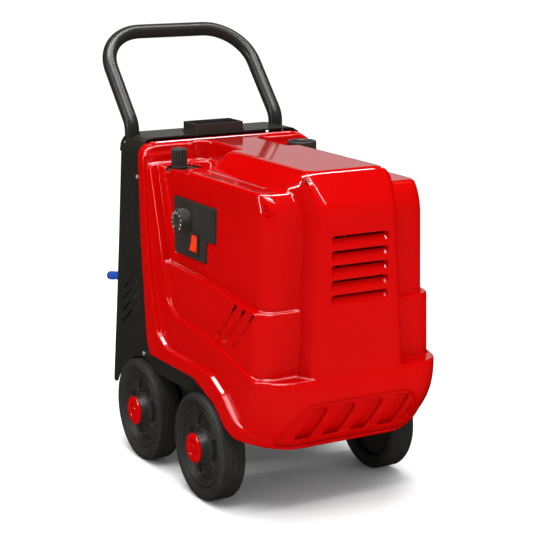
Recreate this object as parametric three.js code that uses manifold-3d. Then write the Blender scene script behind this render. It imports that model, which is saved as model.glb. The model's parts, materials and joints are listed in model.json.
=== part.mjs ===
// A hot-water and steam pressure cleaner on a four-wheel trolley, in millimetres.
// X runs across the machine, -Y is its louvred front, +Z is up. The floor is Z = 0.
import * as THREE from "three";
import { mergeVertices } from "three/addons/utils/BufferGeometryUtils.js";
import Module from "manifold-3d";

const wasm = await Module();
wasm.setup();

// ---- driving dimensions -------------------------------------------------------------------
const GAP = 0.4; // clearance kept between pieces that touch

const WHEEL = { radius: 100, width: 50, innerX: 156, frontY: -148, rearY: 108, bead: 76, bore: 10.4 };
const AXLE = { radius: 10, endX: 199 };
const CAP_RADIUS = 28;
const TREAD_GROOVES = 3;
const HUB_POCKETS = 4;
const BOSS = { radius: 25.5, bore: 20, face: 29.2 };

const WALL = 4.2; // hood moulding
const REAR_PASS = 6; // how far the hood's cavity runs out past its rear edge
const DRAFT = { perMillimetre: 0.00016, level: 600 }; // the hood widens from this level down
const BAND_HALF = 186; // half widths of the hood's side levels: the rim with its side band, ...
const LOWER_HALF = 178;
const MIDDLE_HALF = 173;
const UPPER_HALF = 167;
const RIM = { front: 110, back: 135, top: 630, corner: 38 };
const SHOULDER = { top: 589, front: -329, corner: 28 };
const PLATEAU = { top: 622, half: 76, footHalf: 118, frontY: -322 };
const COLUMN = { front: -370, half: 82, footHalf: 97, crease: 558 };
const BUMPER = { front: -376, top: 268, bottom: 130, corner: 68 };
const POCKET = { floor: 584, innerX: 48, frontY: -38, corner: 45 };
const HOOD_DEPTH = RIM.back - BUMPER.front;

const LOUVRE = { count: 5, top: 516, pitch: 25.8, half: 57, height: 17, depth: 13, slit: 3.4 };
const GROOVE = { count: 3, pitch: 30, top: [-252, 392], run: 76, fall: 79, half: 4 };
const RECESS_DEPTH = 6;
const RECESS_POCKET_DEPTH = 11;

const PANEL = { outerX: 179, thick: 3 };
const WHEEL_ARCH = 104; // radius of the panel's edge round a wheel
const SLOT_HALF = 1.4;
const PLATE = { top: 629, thick: 3, back: 228, foot: 594, corner: 33 };
const TRAY = { halfX: 52, front: 145, back: 205, top: 646, wall: 3 };
const HANDLE = { x: 160.8, y: 209, foot: 520, kneeZ: 646, barY: 361, barZ: 812, kneeRadius: 40, corner: 89, radius: 14.5 };

const CONTROL = { x: -167.6, thick: 5 };
const DIAL = { y: -36, z: 499, radius: 24, depth: 19 };
const ROCKER = { y: -74, z: 462, width: 24, height: 34, tip: 10 };
const KNOB = { x: -130, y: 65, radius: 16, height: 38 };
const KNOB_PLATE = { x: -128, y: 49, radius: 32.6, top: 579, thick: 4 };
const INLET_DROOP = 11; // degrees
const FUEL = { x: 128, y: 47, capRadius: 29, capTop: 615, capFoot: 590, neckRadius: 24.5, neckTop: 604 };

const CHASSIS = { half: 150, front: -250, back: 230, floor: 150, wallTop: 205, thick: 3, apron: 112, sideTop: 232 };

// ---- helpers: shapes ----------------------------------------------------------------------
// A closed outline through corners [u, v, radius]; a corner with a radius is rounded.
function outline(corners) {
  const shape = new THREE.Shape();
  const count = corners.length;
  corners.forEach(([u, v, radius = 0], i) => {
    const corner = new THREE.Vector2(u, v);
    const before = new THREE.Vector2(...corners[(i + count - 1) % count].slice(0, 2)).sub(corner);
    const after = new THREE.Vector2(...corners[(i + 1) % count].slice(0, 2)).sub(corner);
    const half = before.clone().normalize().dot(after.clone().normalize());
    const reach = radius / Math.tan(Math.acos(THREE.MathUtils.clamp(half, -1, 1)) / 2);
    const start = corner.clone().add(before.setLength(reach || 0));
    const end = corner.clone().add(after.setLength(reach || 0));
    if (i === 0) shape.moveTo(start.x, start.y);
    else shape.lineTo(start.x, start.y);
    if (radius) shape.quadraticCurveTo(u, v, end.x, end.y);
  });
  shape.closePath();
  return shape;
}

const mirrored = (corners) => [...corners, ...corners.map(([u, v, r]) => [-u, v, r]).reverse()];

function extruded(shape, depth, curveSegments = 4) {
  return new THREE.ExtrudeGeometry(shape, { depth, bevelEnabled: false, curveSegments });
}

const radians = THREE.MathUtils.degToRad;

// Prisms of an outline: in (y, z) along X, in (x, z) along Y, in (x, y) along Z.
function prismX(corners, x0, x1, segments) {
  const turn = new THREE.Matrix4().set(0, 0, 1, x0, 1, 0, 0, 0, 0, 1, 0, 0, 0, 0, 0, 1);
  return extruded(outline(corners), x1 - x0, segments).applyMatrix4(turn);
}

function prismY(corners, y0, y1, segments) {
  const turn = new THREE.Matrix4().set(1, 0, 0, 0, 0, 0, -1, y1, 0, 1, 0, 0, 0, 0, 0, 1);
  return extruded(outline(corners), y1 - y0, segments).applyMatrix4(turn);
}

function prismZ(corners, z0, z1, segments) {
  return extruded(outline(corners), z1 - z0, segments).translate(0, 0, z0);
}

function box(x0, x1, y0, y1, z0, z1) {
  const geometry = new THREE.BoxGeometry(x1 - x0, y1 - y0, z1 - z0);
  return geometry.translate((x0 + x1) / 2, (y0 + y1) / 2, (z0 + z1) / 2);
}

// A turned piece: [radius, height] pairs, turned about the axis named.
function turned(profile, axis = "z", segments = 20) {
  const points = profile.map(([r, h]) => new THREE.Vector2(r, h));
  const geometry = new THREE.LatheGeometry(points, segments);
  if (axis === "z") geometry.rotateX(Math.PI / 2);
  if (axis === "x") geometry.rotateZ(-Math.PI / 2);
  return geometry;
}

const ring = (inner, outer, h0, h1) => [
  [inner, h0],
  [outer, h0],
  [outer, h1],
  [inner, h1],
  [inner, h0],
];

const disc = (radius, h0, h1) => [
  [0, h0],
  [radius, h0],
  [radius, h1],
  [0, h1],
];

// A round bar along a path.
function tube(path, radius, steps, sides = 10) {
  const section = new THREE.Shape().absarc(0, 0, radius, 0, 2 * Math.PI);
  return new THREE.ExtrudeGeometry(section, {
    steps,
    extrudePath: path,
    curveSegments: sides / 2,
    bevelEnabled: false,
  });
}

// ---- helpers: joining and cutting ---------------------------------------------------------
// Shared corners are merged first; a piece that has been joined or cut already has them merged.
function solid(geometry) {
  let merged = geometry;
  if (!geometry.userData.merged) {
    const plain = geometry.clone();
    plain.deleteAttribute("normal");
    plain.deleteAttribute("uv");
    merged = mergeVertices(plain, 1e-4);
  }
  return new wasm.Manifold(
    new wasm.Mesh({
      numProp: 3,
      vertProperties: merged.attributes.position.array,
      triVerts: new Uint32Array(merged.index.array),
    }),
  );
}

function geometryOf(piece) {
  const mesh = piece.getMesh();
  const geometry = new THREE.BufferGeometry();
  geometry.setAttribute("position", new THREE.BufferAttribute(mesh.vertProperties, 3));
  geometry.setIndex(new THREE.BufferAttribute(mesh.triVerts, 1));
  geometry.userData.merged = true;
  return geometry;
}

const join = (...pieces) => geometryOf(pieces.map(solid).reduce((a, b) => a.add(b)));
const meet = (...pieces) => geometryOf(pieces.map(solid).reduce((a, b) => a.intersect(b)));
const cut = (...pieces) => geometryOf(pieces.map(solid).reduce((a, b) => a.subtract(b)));

// The mirror image across the machine's middle plane, with its faces turned outwards again.
function mirrorX(geometry) {
  const image = geometryOf(solid(geometry)).scale(-1, 1, 1);
  image.index.array.reverse();
  return image;
}

const FINISH = {
  red: { color: 0xd00400, roughness: 0.12, metalness: 0 },
  blackPlastic: { color: 0x1c1a17, roughness: 0.45, metalness: 0 },
  blackPaint: { color: 0x161513, roughness: 0.3, metalness: 0 },
  rubber: { color: 0x1b1a18, roughness: 0.8, metalness: 0 },
  steel: { color: 0xa8a8a6, roughness: 0.35, metalness: 1 },
  darkSteel: { color: 0x55565a, roughness: 0.5, metalness: 1 },
  brass: { color: 0xb5903f, roughness: 0.35, metalness: 1 },
  blue: { color: 0x143c96, roughness: 0.35, metalness: 0 },
  lens: { color: 0xf03a00, roughness: 0.2, metalness: 0 },
  tank: { color: 0xd8d6cc, roughness: 0.5, metalness: 0 },
  motorPaint: { color: 0x3b4450, roughness: 0.5, metalness: 0 },
};

const machine = new THREE.Group();
machine.name = "steam_cleaner";

function add(name, finish, piece, parent = machine) {
  const geometry = geometryOf(solid(piece));
  geometry.computeVertexNormals();
  const mesh = new THREE.Mesh(geometry, new THREE.MeshStandardMaterial(FINISH[finish]));
  mesh.name = name;
  parent.add(mesh);
  return mesh;
}

// ---- hood ---------------------------------------------------------------------------------
// Side outlines in (y, z), each corner with its radius.
const REAR_EDGE = [
  [RIM.back, RIM.top],
  [134, 604],
  [116, 437],
  [84, 246],
];
const LOWER_EDGE = [
  [67, 219.5, 6],
  [-114, 220.6],
  [-156, 207],
  [-200, 192],
  [-262, 146],
  [-300, 138],
];
const NOSE = [
  [-326, BUMPER.bottom, 25],
  [-356, 178, 50],
  [BUMPER.front, 232, 40],
  [COLUMN.front - 2, BUMPER.top, 4],
];
const BAND_INNER = [
  [-352, 152],
  [-312, 157],
  [-231, 220],
  [-173, 247],
  [-3, 249],
  [34, 269, 24],
  [64, 351],
  [92, 481],
  [106, 600],
];
const LOWER_STEP = [
  [-400, 268],
  [-318, 270],
  [-227, 290],
  [-129, 309],
  [-31, 313, 20],
  [8, 337, 20],
];
const UPPER_STEP = [
  [-400, 382],
  [-312, 386],
  [-248, 392],
  [-112, 405],
  [31, 410],
];

// Each level starts a little below its step line, so that it runs into the level under it.
const lowered = (corners) => corners.map(([y, z, radius]) => [y, z - 3, radius]);

// Everything behind the step lines of the side, down to the lower edge.
function bandRegion() {
  return [...REAR_EDGE, ...LOWER_EDGE, [-352, BUMPER.bottom], ...BAND_INNER, [104, RIM.top]];
}

function lowerRegion() {
  const strip = [
    [54, 476],
    [91, 580],
    [92, SHOULDER.top],
    [RIM.back - 10, SHOULDER.top],
  ];
  return [...REAR_EDGE.slice(2), ...LOWER_EDGE, ...NOSE, ...LOWER_STEP.slice(1), ...strip];
}

function middleRegion() {
  return [
    [COLUMN.front, BUMPER.top - 4],
    [COLUMN.front, 384],
    ...UPPER_STEP.slice(1),
    [94, 410],
    [80, 300],
    ...lowered(LOWER_STEP.slice(1, 5)).reverse(),
  ];
}

function upperRegion() {
  const front = [
    [COLUMN.front, 380],
    [COLUMN.front, COLUMN.crease, 60],
    [PLATEAU.frontY, PLATEAU.top, 20],
    [RIM.front + 6, PLATEAU.top],
    [96, 391],
  ];
  return [...lowered(UPPER_STEP.slice(1)).reverse(), ...front];
}

const widePlan = (half, corner, front = BUMPER.front) =>
  mirrored([
    [-half, RIM.back + 10],
    [-half, front, corner],
  ]);

const columnPlan = (half, front) =>
  mirrored([
    [-half, RIM.back + 10],
    [-half, front, SHOULDER.corner],
    [-COLUMN.footHalf, front, 8],
    [-COLUMN.half, COLUMN.front, 10],
  ]);

const archProfile = (half, top, corner, low = 100) =>
  mirrored([
    [-half, low],
    [-half, top, corner],
  ]);

const topProfile = () =>
  mirrored([
    [-UPPER_HALF, 370],
    [-UPPER_HALF, SHOULDER.top - 3, 18],
    [-PLATEAU.footHalf, SHOULDER.top, 10],
    [-PLATEAU.half, PLATEAU.top, 8],
  ]);

// The pocket beside the centre column, right-hand side; shift moves its two inner walls inwards.
function pocket(shift) {
  const inner = POCKET.innerX - shift;
  const front = POCKET.frontY - 3.5 * shift;
  const outer = BAND_HALF + 20;
  const corners = [
    [inner, RIM.front, POCKET.corner],
    [inner, front, 14],
    [outer, front],
    [outer, RIM.front],
  ];
  return prismZ(corners, POCKET.floor, 700);
}

// Widens a piece of the hood evenly towards the floor.
function drafted(geometry) {
  const position = geometry.attributes.position;
  for (let i = 0; i < position.count; i++) {
    const drop = DRAFT.level - position.getZ(i);
    position.setX(i, position.getX(i) * (1 + DRAFT.perMillimetre * drop));
  }
  return geometry;
}

function hoodBlock(pocketShift) {
  const across = (region, half) => drafted(prismX(region, -half, half, 2));
  const plan = (corners) => drafted(prismZ(corners, 100, 700, 3));
  const along = (profile, y0 = -400, y1 = 200) => drafted(prismY(profile, y0, y1, 3));
  const band = meet(
    across(bandRegion(), BAND_HALF),
    plan(widePlan(BAND_HALF, BUMPER.corner + 8, BUMPER.front + 5)),
    along(archProfile(BAND_HALF, RIM.top, RIM.corner)),
  );
  const lower = meet(
    across(lowerRegion(), LOWER_HALF),
    plan(widePlan(LOWER_HALF, BUMPER.corner)),
    along(archProfile(LOWER_HALF, POCKET.floor + 1, 18)),
  );
  const middle = meet(across(middleRegion(), 200), plan(columnPlan(MIDDLE_HALF, SHOULDER.front - 8)));
  const upper = meet(
    across(upperRegion(), 200),
    plan(columnPlan(UPPER_HALF, SHOULDER.front)),
    along(topProfile()),
  );
  const rim = along(archProfile(BAND_HALF, RIM.top, RIM.corner, 560), RIM.front, RIM.back);
  return cut(join(band, lower, middle, upper, rim), pocket(pocketShift), mirrorX(pocket(pocketShift)));
}

// The cavity is the block itself, narrower, lower and further back by one wall. It opens at the rear
// and underneath, and the wall of the bumper's underside is kept.
function hoodCavity() {
  const inside = hoodBlock(WALL - 1)
    .translate(0, -RIM.back, 0)
    .scale(1 - WALL / BAND_HALF, 1 + (REAR_PASS - WALL) / HOOD_DEPTH, 1)
    .translate(0, RIM.back + REAR_PASS, -WALL);
  const floor = BUMPER.bottom + WALL;
  const noseWall = [
    [-400, 700],
    [BUMPER.front + WALL, 232],
    [-351, 178],
    [-322, floor],
    [-262, floor],
    [-262, 100],
    [200, 100],
    [200, 700],
  ];
  const opening = [
    [160, 100],
    [160, 420],
    [20, 420],
    [20, 250],
    [-150, 250],
    [-262, 156],
    [-266, 100],
  ];
  return join(meet(inside, prismX(noseWall, -300, 300)), prismX(opening, -UPPER_HALF, UPPER_HALF));
}

// Sinks outlines (x, z) into the front by a depth that follows its curve.
function frontDent(block, outlines, depth) {
  const behind = block.clone().translate(0, depth, 0);
  return outlines.map((corners) => cut(prismY(corners, -420, -240), behind));
}

const recessOutline = (grow) => [
  [-150 - grow, 142 - grow, 16],
  [-108 - grow, 221 + grow, 34],
  [108 + grow, 225 + grow, 34],
  [150 + grow, 142 - grow, 16],
];

function slantedPocket(index, grow) {
  const centre = (index - 1.5) * 57;
  return [
    [centre - 22 - grow, 160 - grow, 6],
    [centre + 6 + grow, 160 - grow, 6],
    [centre + 24 + grow, 205 + grow, 6],
    [centre - 3 - grow, 205 + grow, 6],
  ];
}

const GROOVE_ROWS = Array.from({ length: GROOVE.count }, (_, i) => i);

const slantedPockets = (grow) => [0, 1, 2, 3].map((i) => slantedPocket(i, grow));

// A louvre is a wedge sunk into the column's face, with an air slit along its deep upper edge. With a
// margin it is the wedge's wall, which the cavity leaves standing.
function louvre(index, margin = 0) {
  const top = LOUVRE.top - index * LOUVRE.pitch;
  const deep = COLUMN.front + LOUVRE.depth + margin;
  const corners = [
    [COLUMN.front - 1, top + margin],
    [COLUMN.front - 1, top - LOUVRE.height - margin],
    [deep, top - margin],
    [deep, top + margin],
  ];
  if (!margin) corners.pop();
  return prismX(corners, -LOUVRE.half - margin, LOUVRE.half + margin);
}

function louvreSlit(index) {
  const top = LOUVRE.top - index * LOUVRE.pitch;
  const deep = COLUMN.front + LOUVRE.depth;
  return box(-LOUVRE.half + 2, LOUVRE.half - 2, deep - 3, deep + 2 * WALL, top - LOUVRE.slit, top);
}

function sideGroove(index, sign) {
  const y = GROOVE.top[0] - index * GROOVE.pitch;
  const z = GROOVE.top[1] - index * 3;
  const corners = [
    [y - GROOVE.half, z],
    [y + GROOVE.half, z],
    [y + GROOVE.run + GROOVE.half, z - GROOVE.fall],
    [y + GROOVE.run - GROOVE.half, z - GROOVE.fall],
  ];
  const groove = drafted(prismX(corners, MIDDLE_HALF - 2.5, 200));
  return sign > 0 ? groove : mirrorX(groove);
}

const controlOutline = (grow) => [
  [13 + grow, 432 - grow, 2],
  [13 + grow, 537 + grow, 2],
  [-150 - grow, 537 + grow, 2],
  [-150 - grow, 474 - grow, 2],
  [-114 - grow, 473 - grow, 4],
  [-113 - grow, 432 - grow, 2],
];

function hood() {
  const block = hoodBlock(0);
  const recess = frontDent(block, [recessOutline(0)], RECESS_DEPTH);
  const pockets = frontDent(block, slantedPockets(0), RECESS_POCKET_DEPTH);
  const backing = [
    ...frontDent(block, [recessOutline(WALL)], RECESS_DEPTH + WALL),
    ...frontDent(block, slantedPockets(WALL - 1), RECESS_POCKET_DEPTH + WALL),
  ];
  const rows = Array.from({ length: LOUVRE.count }, (_, i) => i);
  const louvres = rows.flatMap((i) => [louvre(i), louvreSlit(i)]);
  const grooves = GROOVE_ROWS.flatMap((i) => [sideGroove(i, 1), sideGroove(i, -1)]);
  const knobHole = turned(disc(KNOB_PLATE.radius + 1, 560, 600)).translate(KNOB_PLATE.x, KNOB_PLATE.y, 0);
  const neckHole = turned(disc(FUEL.neckRadius + 1, 560, 600)).translate(FUEL.x, FUEL.y, 0);
  const window = prismX(controlOutline(GAP), -200, -UPPER_HALF + 20);
  const cavity = cut(hoodCavity(), ...backing, ...rows.map((i) => louvre(i, WALL)));
  return cut(block, ...recess, ...pockets, cavity, ...louvres, ...grooves, knobHole, neckHole, window);
}

// ---- rear casing --------------------------------------------------------------------------
const PANEL_REAR = [
  [222, PLATE.foot - GAP],
  [230, 414],
  [238, 281],
  [248, 140],
];

// The side panels widen towards the floor with the hood.
const panelX = (z) => PANEL.outerX * (1 + DRAFT.perMillimetre * (DRAFT.level - z));

// Points round a wheel, at the angles given in degrees from +Y.
const archOver = (y, angles) =>
  angles.map(radians).map((turn) => [
    y + WHEEL_ARCH * Math.cos(turn),
    WHEEL.radius + WHEEL_ARCH * Math.sin(turn),
  ]);

function sidePanel() {
  const sill = [
    [48, 188],
    [-72, 188],
  ];
  const underHood = [
    [-142, 213],
    [-112, 226],
    [56, 226],
    [92, 433],
    [122, PLATE.foot - GAP],
  ];
  const corners = [
    ...PANEL_REAR,
    [249, 122, 6],
    [236, 122, 6],
    [224, 141, 10],
    ...archOver(WHEEL.rearY, [35, 50, 65, 78, 90, 102, 114]),
    ...sill,
    ...archOver(WHEEL.frontY, [62, 74, 86]),
    ...underHood,
  ];
  const slots = [0, 1, 2, 3].map((i) => [
    [142 - i * 3 + SLOT_HALF, 373 - i * 21 + SLOT_HALF],
    [142 - i * 3 - SLOT_HALF, 373 - i * 21 - SLOT_HALF],
    [201 + i * 3 - SLOT_HALF, 326 - i * 24.5 - SLOT_HALF],
    [201 + i * 3 + SLOT_HALF, 326 - i * 24.5 + SLOT_HALF],
  ]);
  const panel = drafted(prismX(corners, PANEL.outerX - PANEL.thick, PANEL.outerX));
  return cut(panel, ...slots.map((slot) => prismX(slot, PANEL.outerX - 20, PANEL.outerX + 20)));
}

// The top plate bends down at both sides to meet the side panels.
function topPlate() {
  const { top, thick, back, foot, corner } = PLATE;
  const outer = prismY(archProfile(PANEL.outerX, top, corner, foot), RIM.back + GAP, back);
  const inner = prismY(archProfile(PANEL.outerX - thick, top - thick, corner - thick, 500), 100, back + 50);
  const lip = box(-140, 140, back - thick, back, top - 14, top - 1);
  const holes = [-1, 1].map((sign) =>
    turned(disc(HANDLE.radius + 1.2, 600, 660)).translate(sign * HANDLE.x, HANDLE.y, 0),
  );
  return cut(join(cut(outer, inner), lip), ...holes);
}

// The rear panel follows the sloping rear edge of the side panels.
function rearPanel() {
  const outer = PANEL_REAR.slice(0, 3).map(([y, z]) => [y - 1, z]);
  outer.unshift([222, PLATE.top - 16]);
  outer.push([246.8, 140]);
  const inner = outer.map(([y, z]) => [y - 3, z]).reverse();
  const inside = PANEL.outerX - PANEL.thick - GAP;
  const sheet = prismX([...outer, ...inner], -inside, inside);
  const notch = box(HANDLE.x - HANDLE.radius - 2, 200, 200, 240, 515, 640); // lets a handle leg pass
  const bores = REAR_FITTINGS.map(({ x, z, radius }) =>
    turned(disc(radius + GAP, 150, 350), "x").rotateZ(radians(90)).translate(x, 0, z),
  );
  return cut(drafted(sheet), notch, mirrorX(notch), ...bores);
}

const REAR_FITTINGS = [
  { x: -155, z: 337.5, radius: 9.5 },
  { x: 110, z: 215, radius: 9 },
  { x: 40, z: 250, radius: 8 },
];

function toolTray() {
  const { halfX, front, back, top, wall } = TRAY;
  const floor = PLATE.top + GAP;
  const corners = (inset) => [
    [-halfX + inset, front + inset, 4],
    [halfX - inset, front + inset, 4],
    [halfX - inset, back - inset, 4],
    [-halfX + inset, back - inset, 4],
  ];
  const flanges = box(-halfX - 6, halfX + 6, front + 8, back - 8, floor, floor + 1.5);
  return cut(join(prismZ(corners(0), floor, top), flanges), prismZ(corners(wall), floor + 2, top + 5));
}

// One bent tube: two upright feet, a knee in each leg and two wide corners into the bar.
function handlePath() {
  const path = new THREE.CurvePath();
  const right = [
    [HANDLE.x, HANDLE.y, HANDLE.foot, 0],
    [HANDLE.x, HANDLE.y, HANDLE.kneeZ, HANDLE.kneeRadius],
    [HANDLE.x, HANDLE.barY, HANDLE.barZ, HANDLE.corner],
  ];
  const points = [...right, ...right.map(([x, ...rest]) => [-x, ...rest]).reverse()];
  let from = new THREE.Vector3(...points[0]);
  for (let i = 1; i < points.length - 1; i++) {
    const [at, before, after] = [i, i - 1, i + 1].map((k) => new THREE.Vector3(...points[k]));
    const radius = points[i][3];
    const back = before.sub(at).normalize();
    const ahead = after.sub(at).normalize();
    const reach = radius / Math.tan(back.angleTo(ahead) / 2);
    const start = at.clone().addScaledVector(back, reach);
    const end = at.clone().addScaledVector(ahead, reach);
    const pull = (4 / 3) * Math.tan((Math.PI - back.angleTo(ahead)) / 4) * radius;
    path.add(new THREE.LineCurve3(from, start));
    path.add(
      new THREE.CubicBezierCurve3(
        start,
        start.clone().addScaledVector(back, -pull),
        end.clone().addScaledVector(ahead, -pull),
        end,
      ),
    );
    from = end;
  }
  path.add(new THREE.LineCurve3(from, new THREE.Vector3(...points[points.length - 1])));
  return path;
}

const boltX = (length, radius) => [
  [0, 0],
  [radius * 0.55, 0],
  [radius * 0.55, length - 4],
  [radius, length - 4],
  [radius, length - 1.5],
  [radius * 0.6, length],
  [0, length],
];

// ---- chassis and wheels -------------------------------------------------------------------
function chassis() {
  const { half, front, back, floor, wallTop, thick, sideTop, apron: apronFoot } = CHASSIS;
  const shell = cut(
    box(-half, half, front, back, floor, wallTop),
    box(-half + thick, half - thick, front + thick, back - thick, floor + thick, wallTop + 5),
  );
  const brackets = [-1, 1].flatMap((side) =>
    [WHEEL.frontY, WHEEL.rearY].map((y) => {
      const x0 = side > 0 ? half - 5 : -half;
      const ear = [
        [y - 34, floor + 2],
        [y - 17, 86],
        [y - 8, 78],
        [y + 8, 78],
        [y + 17, 86],
        [y + 34, floor + 2],
      ];
      return prismX(ear, x0, x0 + 5);
    }),
  );
  const bores = [WHEEL.frontY, WHEEL.rearY].map((y) =>
    turned(disc(AXLE.radius + GAP, -200, 200), "x").translate(0, y, WHEEL.radius),
  );
  const sides = [-1, 1].flatMap((side) => {
    const x0 = side > 0 ? half - thick : -half;
    const apron = box(x0, x0 + thick, WHEEL.frontY + 20, WHEEL.rearY - 20, apronFoot, floor + thick);
    return [apron, box(x0, x0 + thick, 0, back - 10, wallTop - thick, sideTop)];
  });
  return cut(join(shell, ...brackets, ...sides), ...bores);
}

function tyre() {
  const half = WHEEL.width / 2;
  const outer = WHEEL.radius;
  const profile = [
    [WHEEL.bead, -half + 6],
    [outer - 12, -half],
    [outer - 2, -half + 4],
  ];
  const pitch = 34 / TREAD_GROOVES;
  for (let i = 0; i < TREAD_GROOVES; i++) {
    const centre = -17 + pitch * (i + 0.5);
    profile.push([outer, centre - 3], [outer - 2.4, centre], [outer, centre + 3]);
  }
  profile.push([outer - 2, half - 4], [outer - 12, half], [WHEEL.bead, half - 6], [WHEEL.bead, -half + 6]);
  return turned(profile, "x");
}

// The hub's outer face is at +X: a rim, a dished web with lobed pockets, and a boss for the cap.
function hub() {
  const rim = WHEEL.bead - GAP;
  const body = turned(
    [
      [WHEEL.bore, -22],
      [24, -22],
      [24, -6],
      [rim, -6],
      [rim, 19],
      [rim - 4, 21],
      [rim - 14, 13],
      [BOSS.radius, 15],
      [BOSS.radius, BOSS.face],
      [BOSS.bore, BOSS.face],
      [BOSS.bore, 12],
      [WHEEL.bore, 12],
      [WHEEL.bore, -22],
    ],
    "x",
  );
  const lobe = [
    [-15, 36],
    [15, 36],
    [27, 57],
    [12, 68],
    [-12, 68],
    [-27, 57],
  ];
  const lobes = Array.from({ length: HUB_POCKETS }, (_, i) =>
    prismX(lobe, 2, 30).rotateX(((2 * Math.PI) / HUB_POCKETS) * i),
  );
  return cut(body, ...lobes);
}

// A thin disc over the hub's boss, with a plug that fits into it.
const CAP_PROFILE = [
  [0, 21.4],
  [BOSS.bore - 2 * GAP, 21.4],
  [BOSS.bore - 2 * GAP, BOSS.face + GAP],
  [CAP_RADIUS, BOSS.face + GAP],
  [CAP_RADIUS, 32.5],
  [CAP_RADIUS - 3, 34.9],
  [0, 34.9],
];

function wheel(name, side, y) {
  const group = new THREE.Group();
  const centre = WHEEL.innerX + WHEEL.width / 2;
  group.position.set(side * centre, y, WHEEL.radius);
  if (side < 0) group.rotation.z = Math.PI;
  machine.add(group);
  add(`tyre_${name}`, "rubber", tyre(), group);
  add(`hub_${name}`, "blackPlastic", hub(), group);
  add(`hub_cap_${name}`, "red", turned(CAP_PROFILE, "x", 16), group);
  add(`axle_clip_${name}`, "steel", turned(ring(AXLE.radius + GAP, 16, 12.5, 14.5), "x", 12), group);
}

// ---- controls -----------------------------------------------------------------------------
function controlPlate() {
  const plate = prismX(controlOutline(0), CONTROL.x, CONTROL.x + CONTROL.thick);
  const spindle = turned(disc(4.6, -200, -100), "x").translate(0, DIAL.y, DIAL.z);
  const socketHalf = ROCKER.height / 2 + 2.4;
  const socket = box(-200, -100, -ROCKER.width / 2 - 2.4, ROCKER.width / 2 + 2.4, -socketHalf, socketHalf)
    .translate(0, ROCKER.y, ROCKER.z);
  return cut(plate, spindle, socket);
}

// The dial turns about X; it is a plain round knob with a narrow skirt.
function dial() {
  const face = CONTROL.x - GAP;
  const body = turned(
    [
      [0, -DIAL.depth],
      [DIAL.radius - 2.5, -DIAL.depth],
      [DIAL.radius - 1, -DIAL.depth + 1.5],
      [DIAL.radius - 1, -4],
      [DIAL.radius, -3],
      [DIAL.radius, 0],
      [4, 0],
      [4, 8],
      [0, 8],
    ],
    "x",
    24,
  );
  return body.translate(face, DIAL.y, DIAL.z);
}

function rocker() {
  const half = ROCKER.height / 2 - 1.6;
  const side = ROCKER.width / 2 - 1.2;
  const outlineXZ = [
    [8, -8],
    [-2, -half],
    [-5, -half + 1.5, 1],
    [-3.6, 0],
    [-5, half - 1.5, 1],
    [-2, half],
    [8, 8],
  ];
  return prismY(outlineXZ, -side, side).rotateY(radians(ROCKER.tip));
}

function rockerBezel() {
  const [halfY, halfZ] = [ROCKER.width / 2 + 2, ROCKER.height / 2 + 2];
  const frame = box(-3.5, 16, -halfY, halfY, -halfZ, halfZ);
  const flange = box(-3.5, -0.4, -halfY - 0.8, halfY + 0.8, -halfZ - 0.8, halfZ + 0.8);
  const hole = box(-10, 12, -ROCKER.width / 2, ROCKER.width / 2, -ROCKER.height / 2, ROCKER.height / 2);
  return cut(join(frame, flange), hole);
}

function rockerSwitch() {
  const group = new THREE.Group();
  group.position.set(CONTROL.x, ROCKER.y, ROCKER.z);
  machine.add(group);
  add("rocker_bezel", "blackPlastic", rockerBezel(), group);
  add("rocker_switch", "lens", rocker(), group);
}

// A round outline with flutes round it.
function fluted(radius, depth, count) {
  const corners = [];
  for (let i = 0; i < count; i++) {
    for (const [part, r] of [[0, radius], [0.5, radius], [0.68, radius - depth], [0.82, radius - depth]]) {
      const angle = ((i + part) / count) * 2 * Math.PI;
      corners.push([r * Math.cos(angle), r * Math.sin(angle)]);
    }
  }
  return corners;
}

function meteringKnob() {
  const { radius, height } = KNOB;
  const body = turned([
    [0, 0.5],
    [radius, 0.5],
    [radius, height - 3],
    [radius - 2.5, height],
    [0, height],
  ]);
  const spindle = turned(disc(4, -12, 2));
  return join(meet(body, prismZ(fluted(radius, 1.2, 10), -1, height + 1)), spindle);
}

function fuelCap() {
  const { capRadius, capTop, capFoot } = FUEL;
  const body = turned([
    [0, 599],
    [20.5, 599],
    [20.5, 607],
    [25.2, 607],
    [25.2, capFoot],
    [capRadius, capFoot],
    [capRadius, capTop - 2],
    [capRadius - 1.5, capTop],
    [20, capTop],
    [18.5, capTop - 1.5],
    [18.5, 602],
    [0, 602],
  ]);
  return meet(body, prismZ(fluted(capRadius, 1, 12), 500, 700));
}

// ---- inside the machine -------------------------------------------------------------------
const TANK = { x0: 104, x1: 163, y0: -70, y1: 110, z0: 330, z1: 560, wall: 3 };

function fuelTank() {
  const { x0, x1, y0, y1, z0, z1, wall } = TANK;
  const corners = (inset) => [
    [x0 + inset, y0 + inset, 12],
    [x1 - inset, y0 + inset, 12],
    [x1 - inset, y1 - inset, 12],
    [x0 + inset, y1 - inset, 12],
  ];
  const mouth = turned(disc(FUEL.neckRadius - 3, z1 - 20, z1 + 20)).translate(FUEL.x, FUEL.y, 0);
  return cut(prismZ(corners(0), z0, z1), prismZ(corners(wall), z0 + wall, z1 - wall), mouth);
}

const BOILER = { y: 113, radius: 94, z0: 190, z1: 540, wall: 3, flue: 40 };

const boilerProfile = () => {
  const { radius, z0, z1, wall, flue } = BOILER;
  return [
    [0, z0],
    [radius, z0],
    [radius, z1],
    [flue, z1],
    [flue, z1 - wall],
    [radius - wall, z1 - wall],
    [radius - wall, z0 + wall],
    [0, z0 + wall],
  ];
};

class Helix extends THREE.Curve {
  getPoint(t) {
    const angle = t * COIL.turns * 2 * Math.PI;
    const height = COIL.z0 + t * (COIL.z1 - COIL.z0);
    return new THREE.Vector3(COIL.radius * Math.cos(angle), COIL.radius * Math.sin(angle), height);
  }
}

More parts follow.
